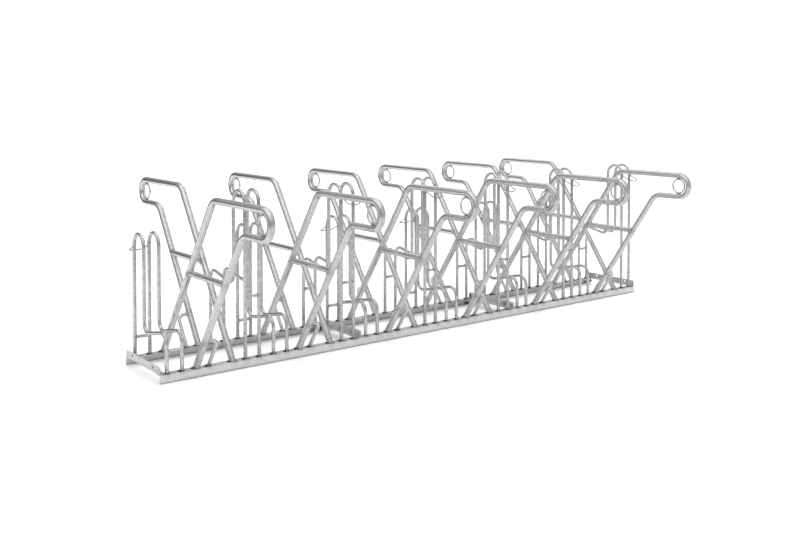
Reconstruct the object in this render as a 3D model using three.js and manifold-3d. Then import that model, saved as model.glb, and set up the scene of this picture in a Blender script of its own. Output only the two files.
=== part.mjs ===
// Two-sided bicycle rack: wheel holders at two heights between leaning locking frames,
// welded on a base of three modules that are bolted end to end.
// Millimetres, +Z up, +X along the rack, origin on the floor below the middle.
import * as THREE from 'three';
import { mergeVertices } from 'three/addons/utils/BufferGeometryUtils.js';
import Module from 'manifold-3d';

const wasm = await Module();
wasm.setup();

// Layout along the rack
const unitPitch = 540;
const unitsPerModule = 2;
const moduleCount = 3;
const holderInset = 75;
const leanFrameInset = 179;

// Clearance between a welded or bolted piece and what carries it, and how far a cutter runs past
const seatGap = 0.3;
const overrun = 30;

// Rails of the base, rolled angles
const railSpread = 400;
const angleLeg = 40;
const angleWall = 4;
const angleRootRadius = 5;

// Cross angles that lie on the rails' ends and carry the joint bolts
const crossRise = 35;
const crossWall = 4;
const crossRootRadius = 4;
const crossEndInset = 6;
const crossFootClearance = 1.5;
const crossCornerRadius = 12;
const boltHoleSpread = 240;
const boltHoleRise = 20;
const boltHoleDiameter = 13;
const ventHoleInset = 18;
const ventHoleRise = 21;
const ventHoleDiameter = 8;

// Joint bolts
const boltDiameter = 12;
const boltHeadAcross = 19;
const boltHeadHeight = 7.5;
const nutHeight = 10;
const washerDiameter = 24;
const washerHeight = 2.5;
const boltTipLength = 5;
const boltTipChamfer = 1.5;

// Wheel holders: a pair of bent rods with spacers and a guard wire
const wheelGap = 55;
const hoopRodDiameter = 18;
const hoopLegInset = 17.5;
const hoopCrownWidth = 114;
const lowHoopHeight = 636;
const tallHoopLift = 201;
const rampStartRise = 130;
const rampRise = 51;
const innerBendRadius = 44;
const outerBendRadius = 49;
const spacerDiameter = 16;
const stopSpacerRise = 91;
const entrySpacerRise = 204;
const guardWireDiameter = 6;
const guardClearance = 3;
const guardReach = 66;
const guardBow = 15;
const guardFallShare = 0.45;
const guardBendRadius = 14;

// Leaning frames: one bent tube with a strut and a side brace
const frameTubeDiameter = 32;
const frameHeight = 834.5;
const frameTopY = 366.5;
const frameNoseWidth = 122.4;
const frameReach = 893;
const backFootInset = 18;
const frontFootInset = 20;
const frontLegTopY = 644;
const frameBendRadius = 76;
const strutDiameter = 30;
const strutHeight = 464;
const braceDiameter = 18;
const braceOffset = 62.5;
const braceLength = 172;
const braceBendRadius = 37;

// Lock rings inside the frames' noses
const ringBarDiameter = 10;
const ringSetback = 7;

// Facets of the round pieces
const tubeSides = 8;
const rodSides = 6;
const wireSides = 4;
const holeSides = 10;
const washerSides = 8;
const bendSteps = 3;
const softBendSteps = 2;
const crownSteps = 3;
const ringSteps = 12;
const ringBarSides = 5;
const rootSteps = 2;

// Places that follow from the sizes above
const unitCount = unitsPerModule * moduleCount;
const rackLength = unitPitch * unitCount;
const moduleLength = unitPitch * unitsPerModule;
const railHalf = railSpread / 2;
const seatHeight = angleLeg + seatGap;
const crossDepth = holderInset - wheelGap / 2 - hoopRodDiameter - crossFootClearance;

// A centre line with rounded corners, sampled exactly at its own stations
class BentLine extends THREE.Curve {
  constructor(stations) {
    super();
    this.stations = stations;
  }

  get steps() {
    return this.stations.length - 1;
  }

  getPointAt(share) {
    return this.stations[Math.round(share * this.steps)].point.clone();
  }

  getTangentAt(share) {
    return this.stations[Math.round(share * this.steps)].tangent.clone();
  }
}

// The arc that rounds one corner, as stations from its start to its end
function cornerStations(before, corner, after, radius, steps) {
  const back = before.clone().sub(corner).normalize();
  const ahead = after.clone().sub(corner).normalize();
  const halfAngle = back.angleTo(ahead) / 2;
  const centreDistance = radius / Math.sin(halfAngle);
  const centre = back.clone().add(ahead).normalize().multiplyScalar(centreDistance).add(corner);
  const startSpoke = corner.clone().addScaledVector(back, radius / Math.tan(halfAngle)).sub(centre);
  const turnAxis = new THREE.Vector3().crossVectors(ahead, back).normalize();
  const turn = Math.PI - 2 * halfAngle;
  const stations = [];
  for (let step = 0; step <= steps; step++) {
    const angle = turn * step / steps;
    const spoke = startSpoke.clone().applyAxisAngle(turnAxis, angle);
    const tangent = back.clone().negate().applyAxisAngle(turnAxis, angle);
    stations.push({ point: spoke.add(centre), tangent });
  }
  return stations;
}

// A bent line through corner points; each inner corner has its radius and number of steps
function bentLine(corners, bends) {
  const first = corners[0];
  const last = corners[corners.length - 1];
  const stations = [{ point: first, tangent: corners[1].clone().sub(first).normalize() }];
  bends.forEach((bend, index) => {
    const arc = cornerStations(corners[index], corners[index + 1], corners[index + 2], bend.radius, bend.steps);
    stations.push(...arc.slice(bend.joinsPrevious ? 1 : 0));
  });
  stations.push({ point: last, tangent: last.clone().sub(corners[corners.length - 2]).normalize() });
  return new BentLine(stations);
}

function regularOutline(radius, sides) {
  const outline = new THREE.Shape();
  for (let side = 0; side < sides; side++) {
    const angle = 2 * Math.PI * side / sides;
    const place = [radius * Math.cos(angle), radius * Math.sin(angle)];
    if (side === 0) outline.moveTo(...place);
    else outline.lineTo(...place);
  }
  outline.closePath();
  return outline;
}

function barAlong(line, diameter, sides) {
  const outline = regularOutline(diameter / 2, sides);
  return new THREE.ExtrudeGeometry(outline, { steps: line.steps, extrudePath: line, curveSegments: 1 });
}

function straightBar(start, end, diameter, sides) {
  return barAlong(bentLine([start, end], []), diameter, sides);
}

// A prism whose outline is drawn in two axes and runs along the third
function prism(outline, depth) {
  return new THREE.ExtrudeGeometry(outline, { depth, bevelEnabled: false, curveSegments: 3 });
}

function toSolid(geometry) {
  const plain = geometry.clone();
  plain.deleteAttribute('normal');
  plain.deleteAttribute('uv');
  const merged = mergeVertices(plain);
  const vertProperties = new Float32Array(merged.attributes.position.array);
  const triVerts = new Uint32Array(merged.index.array);
  return new wasm.Manifold(new wasm.Mesh({ numProp: 3, vertProperties, triVerts }));
}

function toGeometry(solid) {
  const mesh = solid.getMesh();
  const geometry = new THREE.BufferGeometry();
  geometry.setAttribute('position', new THREE.BufferAttribute(mesh.vertProperties, 3));
  geometry.setIndex(new THREE.BufferAttribute(mesh.triVerts, 1));
  geometry.computeVertexNormals();
  return geometry;
}

function union(geometries) {
  return geometries.map(toSolid).reduce((whole, piece) => whole.add(piece));
}

function cut(solid, cutters) {
  return cutters.map(toSolid).reduce((rest, cutter) => rest.subtract(cutter), solid);
}

function boxBetween(low, high) {
  const size = high.clone().sub(low);
  const middle = low.clone().add(high).multiplyScalar(1 / 2);
  return new THREE.BoxGeometry(size.x, size.y, size.z).translate(middle.x, middle.y, middle.z);
}

// Feet are cut level with the rails' top faces
function cutFeet(solid, span) {
  const low = new THREE.Vector3(-span, -span, -span);
  const high = new THREE.Vector3(span, span, seatHeight);
  return cut(solid, [boxBetween(low, high)]);
}

function galvanised(color, roughness) {
  return new THREE.MeshStandardMaterial({ color, roughness, metalness: 0.85 });
}

const railMaterial = () => galvanised(0xb9bcbd, 0.5);
const rodMaterial = () => galvanised(0xaeb1b3, 0.45);
const tubeMaterial = () => galvanised(0xb4b7b9, 0.42);
const boltMaterial = () => galvanised(0x9a9da0, 0.38);

function namedMesh(name, geometry, material) {
  const mesh = new THREE.Mesh(geometry, material);
  mesh.name = name;
  return mesh;
}

// Rolled angle: heel at the origin, one leg along +X and the other along +Y of the outline
function angleOutline(depth, rise, wall, rootRadius) {
  const rootCentre = wall + rootRadius;
  const outline = new THREE.Shape();
  outline.moveTo(0, 0);
  outline.lineTo(depth, 0);
  outline.lineTo(depth, wall);
  outline.lineTo(rootCentre, wall);
  for (let step = 1; step <= rootSteps; step++) {
    const angle = Math.PI / 2 * step / rootSteps;
    const across = rootCentre - rootRadius * Math.sin(angle);
    const up = rootCentre - rootRadius * Math.cos(angle);
    outline.lineTo(across, up);
  }
  outline.lineTo(wall, rise);
  outline.lineTo(0, rise);
  outline.closePath();
  return outline;
}

// Rail along X: outer leg stands on the floor, top leg points to the middle of the rack
function railGeometry(length) {
  const bar = prism(angleOutline(angleLeg, angleLeg, angleWall, angleRootRadius), length);
  bar.rotateX(Math.PI / 2).rotateZ(Math.PI / 2).rotateX(Math.PI);
  bar.translate(-length / 2, railHalf, angleLeg);
  return toGeometry(toSolid(bar));
}

// Cross angle on both rails at a module's end, drawn for the +X end: upstanding leg at x = 0,
// the other leg lies on the rails, ends before the next feet and points into the module.
// The vent hole is on one side only.
function crossAngleGeometry(ventSide) {
  const half = railHalf - crossEndInset;
  const bar = prism(angleOutline(crossDepth, crossRise, crossWall, crossRootRadius), 2 * half);
  bar.rotateX(Math.PI / 2).rotateZ(Math.PI);
  bar.translate(0, -half, seatHeight);
  const solid = toSolid(bar).intersect(toSolid(plateBlank(half)));
  const cutters = [-1, 1].map((side) => {
    return plateHole(side * boltHoleSpread / 2, seatHeight + boltHoleRise, boltHoleDiameter);
  });
  cutters.push(plateHole(ventSide * (half - ventHoleInset), seatHeight + ventHoleRise, ventHoleDiameter));
  return toGeometry(cut(solid, cutters));
}

// Outline of the upstanding leg with its two rounded upper corners, deep enough for the whole angle
function plateBlank(half) {
  const top = seatHeight + crossRise;
  const shoulder = half - crossCornerRadius;
  const outline = new THREE.Shape();
  outline.moveTo(-half, 0);
  outline.lineTo(half, 0);
  outline.absarc(shoulder, top - crossCornerRadius, crossCornerRadius, 0, Math.PI / 2, false);
  outline.absarc(-shoulder, top - crossCornerRadius, crossCornerRadius, Math.PI / 2, Math.PI, false);
  outline.closePath();
  const blank = prism(outline, crossDepth + overrun);
  return blank.rotateX(Math.PI / 2).rotateZ(Math.PI / 2).translate(-crossDepth - overrun / 2, 0, 0);
}

function plateHole(y, z, diameter) {
  const start = new THREE.Vector3(-crossWall - overrun, y, z);
  const end = new THREE.Vector3(overrun, y, z);
  return straightBar(start, end, diameter, holeSides);
}

// Bolt through two plates, along X, with the joint's middle at the origin
function boltGeometry() {
  const grip = crossWall + seatGap / 2 + seatGap;
  const shankRadius = boltDiameter / 2;
  const headOuter = -grip - washerHeight - boltHeadHeight;
  const nutOuter = grip + washerHeight + nutHeight;
  const tip = nutOuter + boltTipLength;
  const along = (x) => new THREE.Vector3(x, 0, 0);
  const hexDiameter = boltHeadAcross / Math.cos(Math.PI / 6);
  const shankProfile = [
    new THREE.Vector2(0, headOuter + boltHeadHeight / 2),
    new THREE.Vector2(shankRadius, headOuter + boltHeadHeight / 2),
    new THREE.Vector2(shankRadius, tip - boltTipChamfer),
    new THREE.Vector2(shankRadius - boltTipChamfer, tip),
    new THREE.Vector2(0, tip),
  ];
  const shank = new THREE.LatheGeometry(shankProfile, washerSides).rotateZ(-Math.PI / 2);
  const head = straightBar(along(headOuter), along(headOuter + boltHeadHeight + washerHeight / 2), hexDiameter, 6);
  const headWasher = straightBar(along(-grip - washerHeight), along(-grip), washerDiameter, washerSides);
  const nutWasher = straightBar(along(grip), along(grip + washerHeight), washerDiameter, washerSides);
  const nut = straightBar(along(grip + washerHeight / 2), along(nutOuter), hexDiameter, 6);
  return toGeometry(union([shank, head, headWasher, nutWasher, nut]));
}

// Centre line of a hoop in the plane x: up the stop leg, over the crown, down the inner leg,
// out along the ramp and down the entry leg; side is +1 when the wheel stops on the +Y side,
// and lift is how far the whole hoop is raised on longer feet
function hoopLine(x, side, lift) {
  const legY = side * (railHalf - hoopLegInset);
  const innerY = legY - side * hoopCrownWidth;
  const crown = lowHoopHeight + lift - hoopRodDiameter / 2;
  const innerCorner = angleLeg + rampStartRise + lift;
  const entryCorner = innerCorner + rampRise;
  const at = (y, z) => new THREE.Vector3(x, y, z);
  const corners = [
    at(legY, seatHeight), at(legY, crown), at(innerY, crown),
    at(innerY, innerCorner), at(-legY, entryCorner), at(-legY, seatHeight),
  ];
  const crownRadius = hoopCrownWidth / 2;
  return bentLine(corners, [
    { radius: crownRadius, steps: crownSteps },
    { radius: crownRadius, steps: crownSteps, joinsPrevious: true },
    { radius: innerBendRadius, steps: softBendSteps },
    { radius: outerBendRadius, steps: softBendSteps },
  ]);
}

// Guard wire: a bow from one stop leg to the other, just below the crown, falling away outwards
function guardLine(side, lift) {
  const legY = side * (railHalf - hoopLegInset);
  const halfSpan = (wheelGap + hoopRodDiameter) / 2;
  const start = lowHoopHeight + lift - (hoopRodDiameter + hoopCrownWidth) / 2 - guardClearance;
  const at = (x, reach) => new THREE.Vector3(x, legY + side * reach, start - guardFallShare * reach);
  const corners = [
    at(-halfSpan, 0), at(-halfSpan, guardReach), at(0, guardReach + guardBow),
    at(halfSpan, guardReach), at(halfSpan, 0),
  ];
  const bend = { radius: guardBendRadius, steps: softBendSteps };
  return bentLine(corners, [bend, bend, bend]);
}

function holderGeometry(side, lift, spacers) {
  const halfSpan = (wheelGap + hoopRodDiameter) / 2;
  const legY = side * (railHalf - hoopLegInset);
  const pieces = [-halfSpan, halfSpan].map((x) => barAlong(hoopLine(x, side, lift), hoopRodDiameter, rodSides));
  for (const spacer of spacers) {
    const y = spacer.onEntrySide ? -legY : legY;
    const z = angleLeg + spacer.rise;
    const start = new THREE.Vector3(-halfSpan, y, z);
    const end = new THREE.Vector3(halfSpan, y, z);
    pieces.push(straightBar(start, end, spacerDiameter, rodSides));
  }
  pieces.push(barAlong(guardLine(side, lift), guardWireDiameter, wireSides));
  return toGeometry(union(pieces));
}

// The point at height z on a leg that runs from its foot to the bend above it
function onLeg(foot, corner, z) {
  return foot.clone().lerp(corner, (z - foot.z) / (corner.z - foot.z));
}

// Leaning frame in the plane x = 0, leaning to -Y, with its brace on the +X side
function leanFrameGeometry() {
  const tubeTop = frameHeight - frameTubeDiameter / 2;
  const tubeLow = tubeTop - frameNoseWidth;
  const noseY = frameTubeDiameter / 2 - frameReach;
  const at = (y, z) => new THREE.Vector3(0, y, z);
  const backFoot = at(railHalf - backFootInset, angleLeg);
  const backCorner = at(-frameTopY, tubeTop);
  const frontFoot = at(frontFootInset - railHalf, angleLeg);
  const frontCorner = at(-frontLegTopY, tubeLow);
  const buried = angleLeg - overrun;
  const noseRadius = frameNoseWidth / 2;
  const corners = [
    onLeg(backFoot, backCorner, buried), backCorner, at(noseY, tubeTop),
    at(noseY, tubeLow), frontCorner, onLeg(frontFoot, frontCorner, buried),
  ];
  const tubeLine = bentLine(corners, [
    { radius: frameBendRadius, steps: bendSteps },
    { radius: noseRadius, steps: bendSteps },
    { radius: noseRadius, steps: bendSteps, joinsPrevious: true },
    { radius: frameBendRadius, steps: bendSteps },
  ]);
  const strutStart = onLeg(backFoot, backCorner, strutHeight);
  const strutEnd = onLeg(frontFoot, frontCorner, strutHeight);
  const alongLeg = frontCorner.clone().sub(frontFoot).normalize();
  const braceTop = frontFoot.clone().addScaledVector(alongLeg, braceLength);
  const aside = new THREE.Vector3(braceOffset, 0, 0);
  const braceLine = bentLine(
    [onLeg(frontFoot, frontCorner, buried).add(aside), braceTop.clone().add(aside), braceTop],
    [{ radius: braceBendRadius, steps: bendSteps }],
  );
  const solid = union([
    barAlong(tubeLine, frameTubeDiameter, tubeSides),
    straightBar(strutStart, strutEnd, strutDiameter, tubeSides),
    barAlong(braceLine, braceDiameter, rodSides),
  ]);
  return toGeometry(cutFeet(solid, frameReach));
}

// Lock ring between the two runs of the nose, in the frame's plane
function lockRingGeometry() {
  const outerRadius = frameNoseWidth / 2 - frameTubeDiameter / 2 - seatGap;
  const barRadius = ringBarDiameter / 2;
  const ring = new THREE.TorusGeometry(outerRadius - barRadius, barRadius, ringBarSides, ringSteps);
  const centreY = frameTubeDiameter / 2 + frameNoseWidth / 2 + ringSetback - frameReach;
  const centreZ = frameHeight - frameTubeDiameter / 2 - frameNoseWidth / 2;
  return ring.rotateY(Math.PI / 2).translate(0, centreY, centreZ);
}

// Three base modules, each with two rails and two cross angles, whose vent holes are at the front
function addBase(rack) {
  const length = moduleLength - seatGap;
  const rail = railGeometry(length);
  const rightCrossAngle = crossAngleGeometry(-1);
  const leftCrossAngle = crossAngleGeometry(1);
  for (let module = 0; module < moduleCount; module++) {
    const number = module + 1;
    const middle = (module + 1 / 2) * moduleLength - rackLength / 2;
    const backRail = namedMesh(`rail_back_${number}`, rail, railMaterial());
    backRail.position.x = middle;
    const frontRail = namedMesh(`rail_front_${number}`, rail, railMaterial());
    frontRail.position.x = middle;
    frontRail.rotation.z = Math.PI;
    const rightAngle = namedMesh(`cross_angle_right_${number}`, rightCrossAngle, railMaterial());
    rightAngle.position.x = middle + length / 2;
    const leftAngle = namedMesh(`cross_angle_left_${number}`, leftCrossAngle, railMaterial());
    leftAngle.position.x = middle - length / 2;
    leftAngle.rotation.z = Math.PI;
    rack.add(backRail, frontRail, rightAngle, leftAngle);
  }
}

// Two bolts hold each pair of cross angles together
function addJointBolts(rack) {
  const bolt = boltGeometry();
  for (let joint = 1; joint < moduleCount; joint++) {
    for (const [label, side] of [['front', -1], ['back', 1]]) {
      const mesh = namedMesh(`joint_bolt_${label}_${joint}`, bolt, boltMaterial());
      const x = joint * moduleLength - rackLength / 2;
      mesh.position.set(x, side * boltHoleSpread / 2, seatHeight + boltHoleRise);
      rack.add(mesh);
    }
  }
}

function addWheelHolders(rack) {
  const lowSpacers = [{ rise: stopSpacerRise }];
  const tallSpacers = [{ rise: stopSpacerRise + tallHoopLift }, { rise: entrySpacerRise, onEntrySide: true }];
  const low = holderGeometry(1, 0, lowSpacers);
  const tall = holderGeometry(-1, tallHoopLift, tallSpacers);
  for (let unit = 0; unit < unitCount; unit++) {
    const start = unit * unitPitch - rackLength / 2;
    const lowMesh = namedMesh(`wheel_holder_low_${unit + 1}`, low, rodMaterial());
    lowMesh.position.x = start + holderInset;
    const tallMesh = namedMesh(`wheel_holder_tall_${unit + 1}`, tall, rodMaterial());
    tallMesh.position.x = start + unitPitch - holderInset;
    rack.add(lowMesh, tallMesh);
  }
}

// Each unit has a frame that leans to the front and one turned half round that leans to the back
function addLeanFrames(rack) {
  const frame = leanFrameGeometry();
  const ring = lockRingGeometry();
  for (let unit = 0; unit < unitCount; unit++) {
    const start = unit * unitPitch - rackLength / 2;
    const frontStation = new THREE.Group();
    frontStation.position.x = start + leanFrameInset;
    const backStation = new THREE.Group();
    backStation.position.x = start + unitPitch - leanFrameInset;
    backStation.rotation.z = Math.PI;
    for (const [label, station] of [['front', frontStation], ['back', backStation]]) {
      station.add(namedMesh(`lean_frame_${label}_${unit + 1}`, frame, tubeMaterial()));
      station.add(namedMesh(`lock_ring_${label}_${unit + 1}`, ring, rodMaterial()));
      rack.add(station);
    }
  }
}

const rack = new THREE.Group();
addBase(rack);
addJointBolts(rack);
addWheelHolders(rack);
addLeanFrames(rack);

export default rack;
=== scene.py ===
# Dresses the two-sided bicycle rack: round tubes and rods, rippled welds, rolled angles,
# threaded bolts and galvanised steel, on a white studio floor.
# Metres, +Z up, +X along the rack, origin on the floor below the middle.
import math

import bmesh
import bpy
from mathutils import Matrix, Vector, noise


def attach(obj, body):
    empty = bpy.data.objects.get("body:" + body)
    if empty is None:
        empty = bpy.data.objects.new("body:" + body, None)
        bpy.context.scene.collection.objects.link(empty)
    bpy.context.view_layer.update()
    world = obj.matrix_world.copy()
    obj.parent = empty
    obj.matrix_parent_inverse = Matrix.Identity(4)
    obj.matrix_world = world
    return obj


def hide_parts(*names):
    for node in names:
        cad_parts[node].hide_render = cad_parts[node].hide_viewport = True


# Layout along the rack
UNIT_PITCH = 0.540
UNITS_PER_MODULE = 2
MODULE_COUNT = 3
HOLDER_INSET = 0.075
LEAN_FRAME_INSET = 0.179
SEAT_GAP = 0.0003
OVERRUN = 0.030

# Rails of the base, rolled angles
RAIL_SPREAD = 0.400
ANGLE_LEG = 0.040
ANGLE_WALL = 0.004
ANGLE_ROOT_RADIUS = 0.005
ANGLE_TOE_RADIUS = 0.0024
ANGLE_EDGE_RADIUS = 0.0006

# Cross angles that lie on the rails' ends and carry the joint bolts
CROSS_RISE = 0.035
CROSS_WALL = 0.004
CROSS_ROOT_RADIUS = 0.004
CROSS_END_INSET = 0.006
CROSS_FOOT_CLEARANCE = 0.0015
CROSS_CORNER_RADIUS = 0.012
BOLT_HOLE_SPREAD = 0.240
BOLT_HOLE_RISE = 0.020
BOLT_HOLE_DIAMETER = 0.013
VENT_HOLE_INSET = 0.018
VENT_HOLE_RISE = 0.021
VENT_HOLE_DIAMETER = 0.008

# Joint bolts
BOLT_DIAMETER = 0.012
BOLT_HEAD_ACROSS = 0.019
BOLT_HEAD_HEIGHT = 0.0075
BOLT_FACE_SHARE = 0.96
BOLT_CHAMFER_DEGREES = 30
NUT_HEIGHT = 0.010
WASHER_DIAMETER = 0.024
WASHER_HEIGHT = 0.0025
WASHER_EDGE = 0.0004
BOLT_TIP_LENGTH = 0.005
BOLT_TIP_CHAMFER = 0.0012
THREAD_PITCH = 0.00175
THREAD_DEPTH = 0.0009

# Wheel holders
WHEEL_GAP = 0.055
ROD_DIAMETER = 0.018
HOOP_LEG_INSET = 0.0175
HOOP_CROWN_WIDTH = 0.114
LOW_HOOP_HEIGHT = 0.636
TALL_HOOP_LIFT = 0.201
RAMP_START_RISE = 0.130
RAMP_RISE = 0.051
INNER_BEND_RADIUS = 0.044
OUTER_BEND_RADIUS = 0.049
SPACER_DIAMETER = 0.016
STOP_SPACER_RISE = 0.091
ENTRY_SPACER_RISE = 0.204
GUARD_DIAMETER = 0.006
GUARD_CLEARANCE = 0.003
GUARD_REACH = 0.066
GUARD_BOW = 0.015
GUARD_FALL_SHARE = 0.45
GUARD_BEND_RADIUS = 0.014

# Leaning frames
TUBE_DIAMETER = 0.032
FRAME_HEIGHT = 0.8345
FRAME_TOP_Y = 0.3665
FRAME_NOSE_WIDTH = 0.1224
FRAME_REACH = 0.893
BACK_FOOT_INSET = 0.018
FRONT_FOOT_INSET = 0.020
FRONT_LEG_TOP_Y = 0.644
FRAME_BEND_RADIUS = 0.076
STRUT_DIAMETER = 0.030
STRUT_HEIGHT = 0.464
BRACE_DIAMETER = 0.018
BRACE_OFFSET = 0.0625
BRACE_LENGTH = 0.172
BRACE_BEND_RADIUS = 0.037
RING_BAR_DIAMETER = 0.010
RING_SETBACK = 0.007

# Welds
WELD_SIZE = 0.0030
THIN_WELD_SIZE = 0.0019
WELD_PITCH = 0.0032
FEWEST_RIPPLES = 3
WELD_RIPPLE_SHARE = 0.16
WELD_WANDER_SHARE = 0.22
WELD_WANDER_LENGTH = 0.009
WELD_SEAT_SHARE = 0.35
WELD_EDGE_MARGIN = 0.0025
RING_WELD_LENGTH = 0.020

# Near-black lumps beside the feet, always on a foot's front left: slag and painted shade
LUMP_LENGTH = 0.016
LUMP_WIDTH = 0.012
LUMP_HEIGHT = 0.006
LUMP_TIP_SHARE = 0.2
LUMP_ASIDE_SHARE = 0.30
LUMP_FORWARD = 0.004
LUMP_RAGGED_SHARE = 0.75
LUMP_RAGGED_LENGTH = 0.0045

# Near-black dross and painted shade at a module's back right end: inward from the end, across from the
# rail's outer face, and up
DROSS_AND_SHADE_LUMPS = (
    (0.010, 0.030, 0.024),
    (0.010, 0.040, 0.019),
    (0.014, 0.007, 0.012),
    (0.034, 0.007, 0.012),
)
DROSS_AND_SHADE_RUNS = (
    ((0.006, 0.032, 0.036), (0.010, 0.026, 0.003)),
    ((0.007, 0.014, 0.046), (0.005, 0.018, 0.070)),
)
DROSS_AND_SHADE_RUN_SIZE = 0.0048

# Stains: zinc is darker and rougher near welds and sooty on the rails' tops; the rails get painted contact
# shade, darker towards their lower edges
STAIN_REACH = 0.026
STAIN_RING_SPACING = 0.009
STAIN_RINGS_EACH_WAY = 3
RAIL_STAIN_RINGS_EACH_WAY = 4
STAIN_FADE = 2.0
STAIN_TONE_SHARE = 0.5
STAIN_ROUGHNESS = 0.3
# Painted contact shade: rails darker over their lowest millimetres, where they stand on the floor
PAINTED_EDGE_SHADE_HEIGHT = 0.009
PAINTED_EDGE_SHADE_SHARE = 0.6
SOOT_LEVEL = 0.0415
SOOT_BAND = 0.0035
SOOT_SPOT_SIZE = 0.006
SOOT_SPOT_DETAIL = 2.0
SOOT_SPOT_START = 0.44
SOOT_SPOT_END = 0.56
SOOT_SHARE = 0.85
SOOT_FADE = 0.3

# Seeds of the welds' ripples and of the ragged near-black lumps
CROSS_ANGLE_SEED_STEP = 20
HOLDER_SEED_STEP = 40
LOW_HOLDER_SEED = 3000
TALL_HOLDER_SEED = 4000
FRAME_SEED_STEP = 30
FRONT_FRAME_SEED = 0
BACK_FRAME_SEED = 1500
RING_SEED = 20

# Finish numbers: a piece's own zinc is 0, and every list of finishes keeps this order
FOOT_WELD_FINISH = 1
SLAG_AND_SHADE_FINISH = 2
# Near-black finish: slag, and painted shade on the hole walls, beside the feet and at the back rail's ends
JOINT_WELD_FINISH = 3
WIRE_FINISH = 4

# Roundness
TUBE_SIDES = 32
ROD_SIDES = 24
WIRE_SIDES = 12
BEAD_SIDES = 8
BEND_STEPS = 14
CROWN_STEPS = 16
EDGE_STEPS = 2
TOE_STEPS = 4
HOLE_SIDES = 40
RING_STEPS = 64
STEPS_PER_RIPPLE = 3
STRAIGHT_STEPS = 20
LUMP_STEPS = 9
CORNER_STEPS = 8
PLAIN_EDGE_STEPS = 1
BOLT_FLATS = 6
STEPS_PER_FLAT = 6
SHARP_EDGE_DEGREES = 34

# Zinc: its crystals' bent edges, patches and grain, and what they do to tone, gloss and relief
CLOUD_ROUGHNESS = 0.5
CHANCE_SHIFT = (7, 11, 5)
WARP_SCALE = 60.0
WARP_DETAIL = 2.0
WARP_REACH = (0.006, 0.006, 0.006)
PATCH_SCALE = 13.0
PATCH_DETAIL = 4.0
PATCH_ROUGHNESS = 0.6
GRAIN_SCALE = 650.0
GRAIN_DETAIL = 3.0
GRAIN_SHARE = 0.05
CRYSTAL_GLOSS_SHARE = 0.04
PATCH_GLOSS_SHARE = 0.05
GRAIN_BUMP = 0.05
GRAIN_BUMP_HEIGHT = 0.0004
CRYSTAL_RELIEF_SHARE = 0.5
CRYSTAL_BUMP = 0.07
CRYSTAL_BUMP_HEIGHT = 0.0008
ZINC_FINISHES = {
    # The rails' zinc carries painted contact shade along its lower edge
    "zinc_on_rolled_angle_with_painted_edge_shade": dict(
        tone=(0.85, 0.847, 0.866), roughness=0.34, spangle_size=0.016,
        spangle_share=0.05, patch_share=0.08, metal_share=0.72, painted_edge_shade_height=PAINTED_EDGE_SHADE_HEIGHT,
    ),
    "zinc_on_cross_angle": dict(
        tone=(0.74, 0.737, 0.755), roughness=0.32, spangle_size=0.016,
        spangle_share=0.06, patch_share=0.10, metal_share=0.78,
    ),
    "zinc_on_rod": dict(
        tone=(0.70, 0.697, 0.714), roughness=0.10, spangle_size=0.009,
        spangle_share=0.18, patch_share=0.14, metal_share=0.92,
    ),
    "zinc_on_tube": dict(
        tone=(0.78, 0.777, 0.795), roughness=0.04, spangle_size=0.012,
        spangle_share=0.09, patch_share=0.10, metal_share=0.95,
    ),
    "zinc_on_ring_bar": dict(
        tone=(0.78, 0.777, 0.795), roughness=0.20, spangle_size=0.007,
        spangle_share=0.07, patch_share=0.10, metal_share=0.90,
    ),
    "zinc_on_wire": dict(
        tone=(0.36, 0.358, 0.37), roughness=0.25, spangle_size=0.005,
        spangle_share=0.08, patch_share=0.10, metal_share=0.90,
    ),
    "zinc_on_bolt": dict(
        tone=(0.52, 0.518, 0.53), roughness=0.38, spangle_size=0.004,
        spangle_share=0.05, patch_share=0.10, metal_share=0.85,
    ),
    "zinc_on_joint_weld": dict(
        tone=(0.66, 0.657, 0.67), roughness=0.30, spangle_size=0.003,
        spangle_share=0.10, patch_share=0.12, metal_share=0.88,
    ),
    "zinc_on_foot_weld": dict(
        tone=(0.36, 0.358, 0.37), roughness=0.50, spangle_size=0.003,
        spangle_share=0.14, patch_share=0.20, metal_share=0.85,
    ),
    # Near-black: slag, and painted shade on the hole walls, beside the feet and at the back rail's ends
    "slag_and_painted_shade": dict(
        tone=(0.07, 0.069, 0.072), roughness=0.75, spangle_size=0.002,
        spangle_share=0.25, patch_share=0.30, metal_share=0.60,
    ),
}

# Places that follow from the sizes above
UNIT_COUNT = UNITS_PER_MODULE * MODULE_COUNT
RACK_LENGTH = UNIT_PITCH * UNIT_COUNT
MODULE_LENGTH = UNIT_PITCH * UNITS_PER_MODULE
BAR_LENGTH = MODULE_LENGTH - SEAT_GAP
RAIL_HALF = RAIL_SPREAD / 2
SEAT_HEIGHT = ANGLE_LEG + SEAT_GAP
CROSS_HALF = RAIL_HALF - CROSS_END_INSET
CROSS_DEPTH = HOLDER_INSET - WHEEL_GAP / 2 - ROD_DIAMETER - CROSS_FOOT_CLEARANCE
LEG_Y = RAIL_HALF - HOOP_LEG_INSET
ROD_SPREAD = WHEEL_GAP + ROD_DIAMETER

# Camera, fitted to the photograph's straight tubes
CAMERA_PLACE = (-3.3208, -4.2082, 1.2738)
CAMERA_RIGHT = (0.7836, -0.6212, 0.0004)
CAMERA_UP = (0.0162, 0.0211, 0.9996)
CAMERA_LENS = 43.11
CAMERA_SENSOR = 36.0
CAMERA_SHIFT_X = -0.02795
CAMERA_SHIFT_Y = -0.1808

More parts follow.
